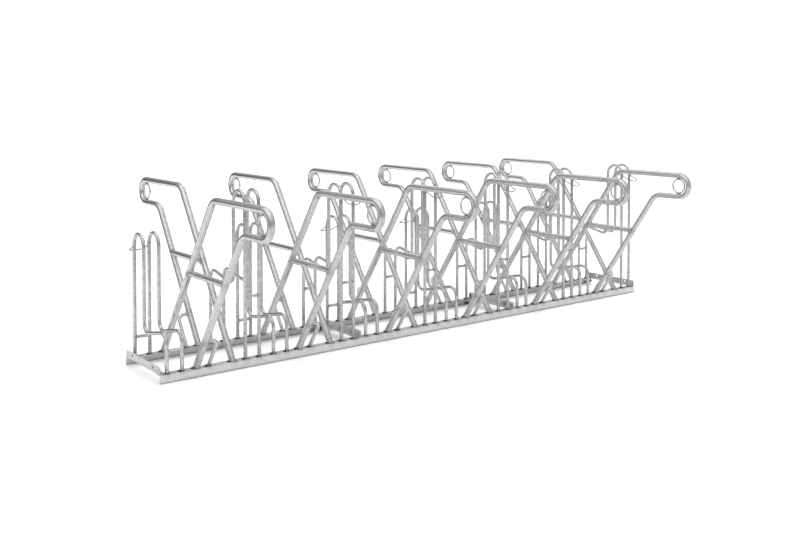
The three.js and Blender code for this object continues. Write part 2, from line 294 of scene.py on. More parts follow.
# Studio
FLOOR_HALF = 40.0
FLOOR_TONE = 0.97
# Painted reflection: the floor's tones as the metal mirrors it, darker than the camera sees it, darkest in
# front
FLOOR_MIRRORED_TONE = 0.64
FLOOR_MIRRORED_FRONT_TONE = 0.50
FLOOR_LIFT = 0.10
FRONT_START = 0.4
FRONT_END = 1.5
WHITE = (1, 1, 1, 1)
SKY_STRENGTH = 1.08
KEY_FROM = (0.50, 0.30, 1.0)
KEY_SPREAD_DEGREES = 50
KEY_STRENGTH = 1.15
DOME_RADIUS = 5.0
DOME_SIDES = 96
DOME_STEPS = 24
DOME_TOP_DEGREES = 89.9
FAR_SIDE_DEGREES = 90
FAR_SIDE_FACING = (0.5, 0.95)
DARK_SIDE_DEGREES = 130
DARK_SIDE_FACING = (0.6, 0.95)
LEFT_SIDE_DEGREES = 190
LEFT_SIDE_FACING = (0.2, 0.95)
RAMP_MIDDLE = 0.5
OPEN_SIDE_TONES = (
    (0, 0.52), (11, 0.50), (23, 0.46), (30, 0.44), (38, 0.47), (50, 0.59), (75, 0.72),
)
FAR_SIDE_TONES = (
    (0, 0.48), (11, 0.50), (17, 0.55), (23, 0.66), (30, 0.78),
    (38, 0.91), (50, 1.08), (75, 1.15),
)
DARK_SIDE_TONES = (
    (0, 0.18), (5, 0.10), (11, 0.06), (17, 0.09), (23, 0.20),
    (30, 0.26), (38, 0.30), (50, 0.40), (75, 0.50),
)
LEFT_SIDE_TONES = (
    (0, 0.52), (5, 0.43), (11, 0.32), (17, 0.32), (23, 0.43),
    (30, 0.61), (38, 0.82), (50, 1.04), (75, 1.10),
)

X_AXIS = Vector((1, 0, 0))
Y_AXIS = Vector((0, 1, 0))
Z_AXIS = Vector((0, 0, 1))


# Shapes: surfaces lofted through rings of points, each with its finish number

class Shape:
    def __init__(self):
        self.points = []
        self.faces = []
        self.finishes = []

    def loft(self, rings, finish=0, joined=False, capped=True):
        start = len(self.points)
        sides = len(rings[0])
        for ring in rings:
            self.points.extend(ring)
        spans = len(rings) if joined else len(rings) - 1
        for span in range(spans):
            here = start + span * sides
            there = start + (span + 1) % len(rings) * sides
            for side in range(sides):
                after = (side + 1) % sides
                self.faces.append((here + side, here + after, there + after, there + side))
                self.finishes.append(finish)
        if capped and not joined:
            last = start + (len(rings) - 1) * sides
            self.faces.append(tuple(range(start + sides - 1, start - 1, -1)))
            self.faces.append(tuple(range(last, last + sides)))
            self.finishes.extend([finish, finish])

    def mesh(self, name):
        mesh = bpy.data.meshes.new(name)
        mesh.from_pydata([tuple(point) for point in self.points], [], self.faces)
        mesh.polygons.foreach_set("material_index", self.finishes)
        working = bmesh.new()
        working.from_mesh(mesh)
        bmesh.ops.recalc_face_normals(working, faces=working.faces)
        working.to_mesh(mesh)
        working.free()
        return mesh


# Centre lines: stations are a point and the direction there

def corner_stations(before, corner, after, radius, steps):
    back = (before - corner).normalized()
    ahead = (after - corner).normalized()
    half_angle = back.angle(ahead) / 2
    centre = corner + (back + ahead).normalized() * radius / math.sin(half_angle)
    spoke = corner + back * radius / math.tan(half_angle) - centre
    turn_axis = ahead.cross(back).normalized()
    turn = math.pi - 2 * half_angle
    stations = []
    for step in range(steps + 1):
        turned = Matrix.Rotation(turn * step / steps, 3, turn_axis)
        stations.append((centre + turned @ spoke, turned @ -back))
    return stations


def bent_line(corners, bends):
    stations = [(corners[0], (corners[1] - corners[0]).normalized())]
    for index, (radius, steps) in enumerate(bends):
        arc = corner_stations(*corners[index:index + 3], radius, steps)
        joins = (arc[0][0] - stations[-1][0]).length < SEAT_GAP
        stations.extend(arc[1:] if joins else arc)
    stations.append((corners[-1], (corners[-1] - corners[-2]).normalized()))
    return stations


def with_rings_near(stations, places):
    """Adds stations in straight stretches' middles and around each place, to carry its stain."""
    result = [stations[0]]
    for (start, _), (end, direction) in zip(stations, stations[1:]):
        length = (end - start).length
        if length > STAIN_REACH:
            extra = {length / 2}
            for place in places:
                along = (place - start).dot(end - start) / length
                for step in range(-STAIN_RINGS_EACH_WAY, STAIN_RINGS_EACH_WAY + 1):
                    extra.add(along + step * STAIN_RING_SPACING)
            for distance in sorted(extra):
                if SEAT_GAP < distance < length - SEAT_GAP:
                    result.append((start.lerp(end, distance / length), (end - start) / length))
        result.append((end, direction))
    return result


def circle(centre, across, up, radius, sides):
    ring = []
    for side in range(sides):
        angle = 2 * math.pi * side / sides
        ring.append(centre + across * radius * math.cos(angle) + up * radius * math.sin(angle))
    return ring


def tube_rings(stations, plane_normal, radius, sides):
    return [
        circle(point, plane_normal, direction.cross(plane_normal), radius, sides)
        for point, direction in stations
    ]


def slid_to_height(ring, direction, height):
    return [point + direction * (height - point.z) / direction.z for point in ring]


def add_bar(shape, start, end, side_axis, diameter, sides, places=()):
    stations = with_rings_near(bent_line([start, end], []), places)
    shape.loft(tube_rings(stations, side_axis, diameter / 2, sides))


# Welds: a rippled bead along a path

def bead(shape, path, size, seed, joined=True, finish=FOOT_WELD_FINISH):
    lengths = [(after - here).length for here, after in zip(path, path[1:] + path[:1])]
    total = sum(lengths) if joined else sum(lengths[:-1])
    ripples = max(FEWEST_RIPPLES, round(total / WELD_PITCH))
    count = ripples * STEPS_PER_RIPPLE
    centres = [along_path(path, lengths, total * step / count) for step in range(count + (not joined))]
    middle = sum(path, Vector()) / len(path)
    rings = []
    for step, centre in enumerate(centres):
        if joined:
            direction = centres[(step + 1) % count] - centres[step - 1]
        else:
            direction = centres[min(step + 1, count)] - centres[max(step - 1, 0)]
        direction.normalize()
        outward = centre - middle if joined else Z_AXIS
        up = direction.cross(outward).normalized()
        across = up.cross(direction)
        phase = step / STEPS_PER_RIPPLE % 1
        ripple = 1 + WELD_RIPPLE_SHARE * (math.sqrt(phase) - 1 / 2)
        spot = centre / WELD_WANDER_LENGTH + Vector((seed, seed, seed))
        wander = 1 + WELD_WANDER_SHARE * noise.noise(spot)
        taper = 1 if joined else math.sqrt(math.sin(math.pi * (step + 1 / 2) / (count + 1)))
        rings.append(circle(centre, across, up, size * ripple * wander * taper, BEAD_SIDES))
    shape.loft(rings, finish=finish, joined=joined)


def along_path(path, lengths, distance):
    for index, length in enumerate(lengths):
        if distance <= length:
            return path[index].lerp(path[(index + 1) % len(path)], distance / length)
        distance -= length
    return path[-1].copy()


def foot_weld(shape, foot, direction, side_axis, diameter, seed, left=-1):
    """A bead round a foot on a rail's top, clear of the rail's outer face, with a near-black lump on its
    front left: slag and painted shade.
    """
    radius = diameter / 2 + WELD_SIZE * WELD_SEAT_SHARE
    ring = circle(foot, side_axis, direction.cross(side_axis), radius, ROD_SIDES)
    path = slid_to_height(ring, direction, ANGLE_LEG + WELD_SIZE * WELD_SEAT_SHARE)
    limit = RAIL_HALF - WELD_EDGE_MARGIN
    for point in path:
        point.y = max(-limit, min(limit, point.y))
    bead(shape, path, WELD_SIZE, seed)
    # Slag and painted shade: the near-black lump lies on the front left of every foot
    aside = left * (diameter / 2 + LUMP_LENGTH * LUMP_ASIDE_SHARE)
    forward = left * LUMP_FORWARD
    lump = Vector((foot.x + aside, foot.y + forward, ANGLE_LEG + LUMP_HEIGHT / 2))
    slag_and_shade_lump(shape, lump, seed)


def slag_and_shade_lump(shape, centre, seed):
    """A flat, ragged, near-black crumb: slag, and beside the feet and at the back rail's ends painted shade
    too.
    """
    rings = []
    for step in range(LUMP_STEPS + 1):
        angle = math.pi * (step / LUMP_STEPS - 1 / 2)
        middle = centre + X_AXIS * LUMP_LENGTH / 2 * math.sin(angle)
        radius = LUMP_WIDTH / 2 * max(math.cos(angle), LUMP_TIP_SHARE)
        ring = circle(middle, Y_AXIS, Z_AXIS, radius, WIRE_SIDES)
        for point in ring:
            point.z = centre.z + (point.z - centre.z) * LUMP_HEIGHT / LUMP_WIDTH
            spot = point / LUMP_RAGGED_LENGTH + Vector((seed, 0, seed))
            point += (point - centre) * LUMP_RAGGED_SHARE * noise.noise(spot)
        rings.append(ring)
    shape.loft(rings, finish=SLAG_AND_SHADE_FINISH)


def joint_weld(shape, start, direction, diameter, leg_direction, leg_diameter, size, seed):
    """A bead where a bar that starts on the leg's centre line comes out of the leg."""
    across = direction.cross(leg_direction).normalized()
    up = direction.cross(across)
    ring = circle(Vector(), across, up, diameter / 2 + size * WELD_SEAT_SHARE, ROD_SIDES)
    reach = leg_diameter / 2 + size * WELD_SEAT_SHARE
    flat_direction = direction - leg_direction * direction.dot(leg_direction)
    pace = flat_direction.length_squared
    path = []
    for spoke in ring:
        flat_spoke = spoke - leg_direction * spoke.dot(leg_direction)
        offset = flat_spoke.dot(flat_direction)
        depth = reach * reach - flat_spoke.length_squared
        distance = (math.sqrt(max(0, offset * offset + pace * depth)) - offset) / pace
        path.append(start + spoke + direction * distance)
    bead(shape, path, size, seed, finish=JOINT_WELD_FINISH)


# Pieces

def finish_piece(name, mesh, finishes, at, stains):
    """Makes the object at its place, smooths it and marks how near each vertex lies to a weld."""
    for material in finishes:
        mesh.materials.append(material)
    marks = mesh.attributes.new("weld_nearness", "FLOAT", "POINT")
    values = []
    for vertex in mesh.vertices:
        nearest = min(((vertex.co - stain).length for stain in stains), default=STAIN_REACH)
        share = max(0, 1 - max(0, nearest - TUBE_DIAMETER / 2) / STAIN_REACH)
        values.append(share)
    marks.data.foreach_set("value", values)
    mesh.shade_smooth()
    mesh.set_sharp_from_angle(angle=math.radians(SHARP_EDGE_DEGREES))
    piece = bpy.data.objects.new(name, mesh)
    bpy.context.scene.collection.objects.link(piece)
    piece.matrix_world = at
    return piece


def stand_for(piece, node):
    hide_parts(node)
    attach(piece, "root")


def hoop_line(x, side, lift):
    """Up the stop leg, over the crown, down to the ramp, along it and down the entry leg."""
    leg_y = side * LEG_Y
    inner_y = leg_y - side * HOOP_CROWN_WIDTH
    crown = LOW_HOOP_HEIGHT + lift - ROD_DIAMETER / 2
    inner_corner = ANGLE_LEG + RAMP_START_RISE + lift
    corners = [
        Vector((x, leg_y, SEAT_HEIGHT)),
        Vector((x, leg_y, crown)),
        Vector((x, inner_y, crown)),
        Vector((x, inner_y, inner_corner)),
        Vector((x, -leg_y, inner_corner + RAMP_RISE)),
        Vector((x, -leg_y, SEAT_HEIGHT)),
    ]
    crown_bend = (HOOP_CROWN_WIDTH / 2, CROWN_STEPS)
    ramp_bends = [(INNER_BEND_RADIUS, BEND_STEPS), (OUTER_BEND_RADIUS, BEND_STEPS)]
    return bent_line(corners, [crown_bend, crown_bend, *ramp_bends])


def guard_place(x, side, reach, lift):
    start = LOW_HOOP_HEIGHT + lift - (ROD_DIAMETER + HOOP_CROWN_WIDTH) / 2 - GUARD_CLEARANCE
    return Vector((x, side * (LEG_Y + reach), start - GUARD_FALL_SHARE * reach))


def wheel_holder(side, lift, spacers, seed):
    """Two hoops with their stop legs on one side, tied by spacers and a bowed guard wire."""
    shape = Shape()
    half = ROD_SPREAD / 2
    stains = []
    for x in (-half, half):
        stains.append(Vector((x, LEG_Y, SEAT_HEIGHT)))
        stains.append(Vector((x, -LEG_Y, SEAT_HEIGHT)))
        stains.append(guard_place(x, side, 0, lift))
        stains.extend(Vector((x, y, z)) for y, z in spacers)
    for x in (-half, half):
        near = [stain for stain in stains if stain.x == x]
        line = with_rings_near(hoop_line(x, side, lift), near)
        shape.loft(tube_rings(line, X_AXIS, ROD_DIAMETER / 2, ROD_SIDES))
        for y in (-LEG_Y, LEG_Y):
            seed += 1
            foot_weld(shape, Vector((x, y, SEAT_HEIGHT)), Z_AXIS, X_AXIS, ROD_DIAMETER, seed)
        inward = X_AXIS if x < 0 else -X_AXIS
        for y, z in spacers:
            seed += 1
            place = Vector((x, y, z))
            joint_weld(shape, place, inward, SPACER_DIAMETER, Z_AXIS, ROD_DIAMETER, THIN_WELD_SIZE, seed)
        start = guard_place(x, side, 0, lift)
        outward = (guard_place(x, side, GUARD_REACH, lift) - start).normalized()
        seed += 1
        joint_weld(shape, start, outward, GUARD_DIAMETER, Z_AXIS, ROD_DIAMETER, THIN_WELD_SIZE, seed)
    for y, z in spacers:
        ends = [Vector((x, y, z)) for x in (-half, half)]
        add_bar(shape, *ends, Y_AXIS, SPACER_DIAMETER, ROD_SIDES)
    corners = [
        guard_place(-half, side, 0, lift),
        guard_place(-half, side, GUARD_REACH, lift),
        guard_place(0, side, GUARD_REACH + GUARD_BOW, lift),
        guard_place(half, side, GUARD_REACH, lift),
        guard_place(half, side, 0, lift),
    ]
    guard = bent_line(corners, [(GUARD_BEND_RADIUS, BEND_STEPS)] * (len(corners) - 2))
    guard_normal = (corners[1] - corners[0]).cross(X_AXIS).normalized()
    shape.loft(tube_rings(guard, guard_normal, GUARD_DIAMETER / 2, WIRE_SIDES), finish=WIRE_FINISH)
    return shape, stains


def on_leg(foot, corner, z):
    return foot.lerp(corner, (z - foot.z) / (corner.z - foot.z))


def lean_frame(seed, left):
    """In the plane x = 0, leaning to -Y, with the brace on the +X side."""
    shape = Shape()
    tube_top = FRAME_HEIGHT - TUBE_DIAMETER / 2
    tube_low = tube_top - FRAME_NOSE_WIDTH
    nose_y = TUBE_DIAMETER / 2 - FRAME_REACH
    back_foot = Vector((0, RAIL_HALF - BACK_FOOT_INSET, ANGLE_LEG))
    back_corner = Vector((0, -FRAME_TOP_Y, tube_top))
    front_foot = Vector((0, FRONT_FOOT_INSET - RAIL_HALF, ANGLE_LEG))
    front_corner = Vector((0, -FRONT_LEG_TOP_Y, tube_low))
    up_back = (back_corner - back_foot).normalized()
    up_front = (front_corner - front_foot).normalized()
    strut_start = on_leg(back_foot, back_corner, STRUT_HEIGHT)
    strut_end = on_leg(front_foot, front_corner, STRUT_HEIGHT)
    brace_top = front_foot + up_front * BRACE_LENGTH
    aside = X_AXIS * BRACE_OFFSET
    stains = [back_foot, front_foot, strut_start, strut_end, brace_top, front_foot + aside]

    nose_bend = (FRAME_NOSE_WIDTH / 2, CROWN_STEPS)
    corners = [
        back_foot, back_corner, Vector((0, nose_y, tube_top)),
        Vector((0, nose_y, tube_low)), front_corner, front_foot,
    ]
    frame_bend = (FRAME_BEND_RADIUS, BEND_STEPS)
    line = with_rings_near(bent_line(corners, [frame_bend, nose_bend, nose_bend, frame_bend]), stains)
    rings = tube_rings(line, X_AXIS, TUBE_DIAMETER / 2, TUBE_SIDES)
    rings[0] = slid_to_height(rings[0], up_back, SEAT_HEIGHT)
    rings[-1] = slid_to_height(rings[-1], up_front, SEAT_HEIGHT)
    shape.loft(rings)

    add_bar(shape, strut_start, strut_end, X_AXIS, STRUT_DIAMETER, TUBE_SIDES, [strut_start, strut_end])
    brace_corners = [front_foot + aside, brace_top + aside, brace_top]
    brace_line = with_rings_near(bent_line(brace_corners, [(BRACE_BEND_RADIUS, BEND_STEPS)]), stains)
    brace_normal = up_front.cross(X_AXIS).normalized()
    brace_rings = tube_rings(brace_line, brace_normal, BRACE_DIAMETER / 2, ROD_SIDES)
    brace_rings[0] = slid_to_height(brace_rings[0], up_front, SEAT_HEIGHT)
    shape.loft(brace_rings)

    feet = (
        (back_foot, up_back, TUBE_DIAMETER),
        (front_foot, up_front, TUBE_DIAMETER),
        (front_foot + aside, up_front, BRACE_DIAMETER),
    )
    for foot, direction, diameter in feet:
        seed += 1
        foot_weld(shape, foot, direction, X_AXIS, diameter, seed, left)
    forward = (strut_end - strut_start).normalized()
    joints = (
        (strut_start, forward, STRUT_DIAMETER, up_back),
        (strut_end, -forward, STRUT_DIAMETER, up_front),
        (brace_top, X_AXIS, BRACE_DIAMETER, up_front),
    )
    for place, direction, diameter, leg_direction in joints:
        seed += 1
        joint_weld(shape, place, direction, diameter, leg_direction, TUBE_DIAMETER, WELD_SIZE, seed)
    return shape, stains


def lock_ring(seed):
    """A ring of round bar between the two runs of the nose, tacked to both."""
    shape = Shape()
    centre_y = TUBE_DIAMETER / 2 + FRAME_NOSE_WIDTH / 2 + RING_SETBACK - FRAME_REACH
    centre_z = FRAME_HEIGHT - TUBE_DIAMETER / 2 - FRAME_NOSE_WIDTH / 2
    outer_radius = FRAME_NOSE_WIDTH / 2 - TUBE_DIAMETER / 2 - SEAT_GAP
    bar_radius = RING_BAR_DIAMETER / 2
    centre = Vector((0, centre_y, centre_z))
    rings = []
    for step in range(RING_STEPS):
        angle = 2 * math.pi * step / RING_STEPS
        spoke = Vector((0, math.cos(angle), math.sin(angle)))
        middle = centre + spoke * (outer_radius - bar_radius)
        rings.append(circle(middle, X_AXIS, spoke, bar_radius, WIRE_SIDES))
    shape.loft(rings, joined=True)
    stains = []
    for way in (-1, 1):
        contact = centre + Z_AXIS * way * outer_radius
        stains.append(contact)
        for aside in (-1, 1):
            offset = X_AXIS * aside * bar_radius / 2
            half = Y_AXIS * RING_WELD_LENGTH / 2
            seed += 1
            path = [contact + offset + half * share for share in (-1, 0, 1)]
            bead(shape, path, THIN_WELD_SIZE, seed, joined=False)
    return shape, stains


def rounded_outline(corners):
    """Corners are (across, up, radius, steps); returns the outline with each corner rounded."""
    outline = []
    count = len(corners)
    for index, (across, up, radius, steps) in enumerate(corners):
        before = Vector(corners[index - 1][:2]).to_3d()
        after = Vector(corners[(index + 1) % count][:2]).to_3d()
        arc = corner_stations(before, Vector((across, up, 0)), after, radius, steps)
        outline.extend(point.xy for point, _ in arc)
    return outline


def angle_outline(depth, rise, wall, root_radius):
    """Rolled angle with its heel at the origin, rounded root and toes and barely broken edges."""
    edge = (ANGLE_EDGE_RADIUS, EDGE_STEPS)
    toe = (ANGLE_TOE_RADIUS, TOE_STEPS)
    return rounded_outline([
        (0, 0, *edge),
        (depth, 0, *edge),
        (depth, wall, *toe),
        (wall, wall, root_radius, TOE_STEPS),
        (wall, rise, *toe),
        (0, rise, *edge),
    ])


def joined_mesh(first, second):
    """Two meshes in one, with each one's own finish numbers."""
    both = bmesh.new()
    both.from_mesh(first)
    both.from_mesh(second)
    mesh = bpy.data.meshes.new("joined")
    both.to_mesh(mesh)
    both.free()
    return mesh


def carve(mesh, operation, cutter_mesh):
    body = bpy.data.objects.new("body", mesh)
    cutter = bpy.data.objects.new("cutter", cutter_mesh)
    bpy.context.scene.collection.objects.link(body)
    bpy.context.scene.collection.objects.link(cutter)
    modifier = body.modifiers.new("carve", "BOOLEAN")
    modifier.operation = operation
    modifier.object = cutter
    modifier.solver = "EXACT"
    graph = bpy.context.evaluated_depsgraph_get()
    carved = bpy.data.meshes.new_from_object(body.evaluated_get(graph))
    bpy.data.objects.remove(body)
    bpy.data.objects.remove(cutter)
    return carved


def rail_shape(foot_places):
    """Rail along X on the +Y side: the outer leg stands on the floor, the top leg points inwards."""
    shape = Shape()
    outline = angle_outline(ANGLE_LEG, ANGLE_LEG, ANGLE_WALL, ANGLE_ROOT_RADIUS)
    half = BAR_LENGTH / 2
    stops = {-half, half}
    for place in foot_places:
        for step in range(-RAIL_STAIN_RINGS_EACH_WAY, RAIL_STAIN_RINGS_EACH_WAY + 1):
            stops.add(place.x + step * STAIN_RING_SPACING)
    rings = []
    for x in sorted(stop for stop in stops if -half <= stop <= half):
        rings.append([Vector((x, RAIL_HALF - inward, ANGLE_LEG - down)) for inward, down in outline])
    shape.loft(rings)
    return shape


def hole_mesh(y, z, diameter):
    start = Vector((-CROSS_WALL - OVERRUN, y, z))
    end = Vector((OVERRUN, y, z))
    shape = Shape()
    add_bar(shape, start, end, Y_AXIS, diameter, HOLE_SIDES)
    return shape.mesh("hole")


def plate_blank_mesh():
    """The upstanding leg's outline with two rounded upper corners, deep enough for the whole angle."""
    top = SEAT_HEIGHT + CROSS_RISE
    corner = (CROSS_CORNER_RADIUS, CORNER_STEPS)
    edge = (ANGLE_EDGE_RADIUS, PLAIN_EDGE_STEPS)
    outline = rounded_outline([
        (-CROSS_HALF, 0, *edge),
        (CROSS_HALF, 0, *edge),
        (CROSS_HALF, top, *corner),
        (-CROSS_HALF, top, *corner),
    ])
    shape = Shape()
    ends = (-CROSS_DEPTH - OVERRUN, OVERRUN)
    shape.loft([[Vector((x, y, z)) for y, z in outline] for x in ends])
    return shape.mesh("blank")


def cross_angle_mesh(vent_side):
    """Cross angle for a module's +X end: its outer face is at x = 0, and its holes' walls are near-black,
    painted shade inside the holes.
    """
    shape = Shape()
    outline = angle_outline(CROSS_DEPTH, CROSS_RISE, CROSS_WALL, CROSS_ROOT_RADIUS)
    rings = []
    for step in range(-STRAIGHT_STEPS, STRAIGHT_STEPS + 1):
        y = CROSS_HALF * step / STRAIGHT_STEPS
        rings.append([Vector((-inward, y, SEAT_HEIGHT + up)) for inward, up in outline])
    shape.loft(rings)
    mesh = carve(shape.mesh("cross_angle"), "INTERSECT", plate_blank_mesh())
    bolt_z = SEAT_HEIGHT + BOLT_HOLE_RISE
    holes = [
        (-BOLT_HOLE_SPREAD / 2, bolt_z, BOLT_HOLE_DIAMETER),
        (BOLT_HOLE_SPREAD / 2, bolt_z, BOLT_HOLE_DIAMETER),
        (vent_side * (CROSS_HALF - VENT_HOLE_INSET), SEAT_HEIGHT + VENT_HOLE_RISE, VENT_HOLE_DIAMETER),
    ]
    for y, z, diameter in holes:
        mesh = carve(mesh, "DIFFERENCE", hole_mesh(y, z, diameter))
    # Painted shade: the holes' walls take the near-black finish
    for face in mesh.polygons:
        wall = abs(face.normal.x) < abs(face.normal.y) + abs(face.normal.z)
        inside = any(
            math.hypot(face.center.y - y, face.center.z - z) < diameter / 2 for y, z, diameter in holes
        )
        face.material_index = SLAG_AND_SHADE_FINISH if wall and inside else 0
    return mesh


def cross_angle_welds(seed, back_side):
    """Beads along the flange and across its end on both rails, coarse and near-black by the back rail: slag
    and painted shade.
    """
    shape = Shape()
    stains = []
    z = ANGLE_LEG + WELD_SIZE * WELD_SEAT_SHARE
    for side in (-1, 1):
        inner = side * (RAIL_HALF - ANGLE_LEG + WELD_SIZE)
        outer = side * (CROSS_HALF + WELD_SIZE * WELD_SEAT_SHARE)
        flange_x = -CROSS_DEPTH - WELD_SIZE * WELD_SEAT_SHARE
        begin = Vector((flange_x, inner, z))
        corner = Vector((flange_x, outer, z))
        middle = Vector((-CROSS_DEPTH / 2, outer, z))
        path = [begin, corner.lerp(begin, 1 / 2), corner, middle]
        # By the back rail the bead is near-black: slag and painted shade
        finish = SLAG_AND_SHADE_FINISH if side == back_side else FOOT_WELD_FINISH
        size = WELD_SIZE if side == back_side else THIN_WELD_SIZE
        bead(shape, path, size, seed + side, joined=False, finish=finish)
        stains.extend([path[0], path[1], middle])
    # Dross and painted shade: near-black lumps and runs at the back right end
    if back_side > 0:
        add_dross_and_shade(shape, seed)
    return shape, stains


def add_dross_and_shade(shape, seed):
    """Near-black lumps and runs on the back rail's end and up the end of the cross angle: dross, and
    painted shade in the crevice there.
    """
    for inward, across, up in DROSS_AND_SHADE_LUMPS:
        slag_and_shade_lump(shape, Vector((-inward, RAIL_HALF - across, up)), seed + inward)
    for places in DROSS_AND_SHADE_RUNS:
        run = [Vector((-inward, RAIL_HALF - across, up)) for inward, across, up in places]
        bead(shape, run, DROSS_AND_SHADE_RUN_SIZE, seed, joined=False, finish=SLAG_AND_SHADE_FINISH)


def turned(profile, sides):
    """Rings round the X axis from (x, radius) pairs."""
    return [circle(Vector((x, 0, 0)), Y_AXIS, Z_AXIS, radius, sides) for x, radius in profile]


def hex_rings(start, end, across):
    """A hexagon prism along X, from its chamfered outer face to its inner face."""
    count = BOLT_FLATS * STEPS_PER_FLAT
    flat_turn = 2 * math.pi / BOLT_FLATS
    flat_radius = across / 2
    face_radius = flat_radius * BOLT_FACE_SHARE
    slope = math.tan(math.radians(BOLT_CHAMFER_DEGREES))
    towards = 1 if end > start else -1
    rings = []
    for x, full in ((start, False), (start, True), (end, True), (end, False)):
        ring = []
        for side in range(count):
            angle = 2 * math.pi * side / count
            from_flat = (angle + flat_turn / 2) % flat_turn - flat_turn / 2
            radius = flat_radius / math.cos(from_flat)
            outer = radius if full else face_radius
            drop = (radius - face_radius) * slope if full and x == start else 0
            ring.append(Vector((x + towards * drop, outer * math.cos(angle), outer * math.sin(angle))))
        rings.append(ring)
    return rings


def joint_bolt():
    """Bolt through two plates along X, with the joint's middle at the origin."""
    shape = Shape()
    grip = CROSS_WALL + SEAT_GAP / 2 + SEAT_GAP
    head_inner = -grip - WASHER_HEIGHT
    nut_inner = grip + WASHER_HEIGHT
    nut_outer = nut_inner + NUT_HEIGHT
    tip = nut_outer + BOLT_TIP_LENGTH
    radius = BOLT_DIAMETER / 2
    shape.loft(hex_rings(head_inner - BOLT_HEAD_HEIGHT, head_inner, BOLT_HEAD_ACROSS))
    shape.loft(hex_rings(nut_outer, nut_inner, BOLT_HEAD_ACROSS))
    rim = WASHER_DIAMETER / 2
    for inner, outer in ((head_inner, -grip), (grip, nut_inner)):
        profile = [
            (inner, rim - WASHER_EDGE),
            (inner + WASHER_EDGE, rim),
            (outer - WASHER_EDGE, rim),
            (outer, rim - WASHER_EDGE),
        ]
        shape.loft(turned(profile, HOLE_SIDES))
    profile = [(head_inner, radius), (nut_inner, radius)]
    x = nut_inner
    while x < tip - BOLT_TIP_CHAMFER:
        profile.append((x, radius - THREAD_DEPTH))
        profile.append((x + THREAD_PITCH / 2, radius))
        x += THREAD_PITCH
    profile.append((tip, radius - BOLT_TIP_CHAMFER))
    shape.loft(turned(profile, ROD_SIDES))
    return shape


# Materials

def node(tree, kind, inputs=(), **settings):
    """Adds a node whose inputs are values, or links where they are another node's outputs."""
    made = tree.nodes.new(kind)
    for key, value in settings.items():
        setattr(made, key, value)
    for key, value in inputs:
        if isinstance(value, bpy.types.NodeSocket):
            tree.links.new(value, made.inputs[key])
        else:
            made.inputs[key].default_value = value
    return made


def math_node(tree, operation, *values):
    return node(tree, "ShaderNodeMath", enumerate(values), operation=operation).outputs[0]


def vector_node(tree, operation, *values):
    return node(tree, "ShaderNodeVectorMath", enumerate(values), operation=operation).outputs


def clouds(tree, place, scale, detail, roughness=CLOUD_ROUGHNESS):
    inputs = [("Vector", place), ("Scale", scale), ("Detail", detail), ("Roughness", roughness)]
    return node(tree, "ShaderNodeTexNoise", inputs).outputs


def swing(tree, value, size):
    """A value from 0 to 1 turned into one from -size to +size."""
    return math_node(tree, "MULTIPLY_ADD", value, 2 * size, -size)


def blend(tree, share, first, second):
    """The first value where the share is 0 and the second where it is 1."""
    return node(tree, "ShaderNodeMix", [(0, share), (2, first), (3, second)], data_type="FLOAT").outputs[0]


def smooth_share(tree, value, start, end):
    """0 below the start, 1 above the end and a smooth step between."""
    inputs = [(0, value), (1, start), (2, end)]
    return node(tree, "ShaderNodeMapRange", inputs, interpolation_type="SMOOTHSTEP").outputs[0]


def new_material(name):
    material = bpy.data.materials.new(name)
    material.use_nodes = True
    return material, material.node_tree, material.node_tree.nodes["Principled BSDF"]


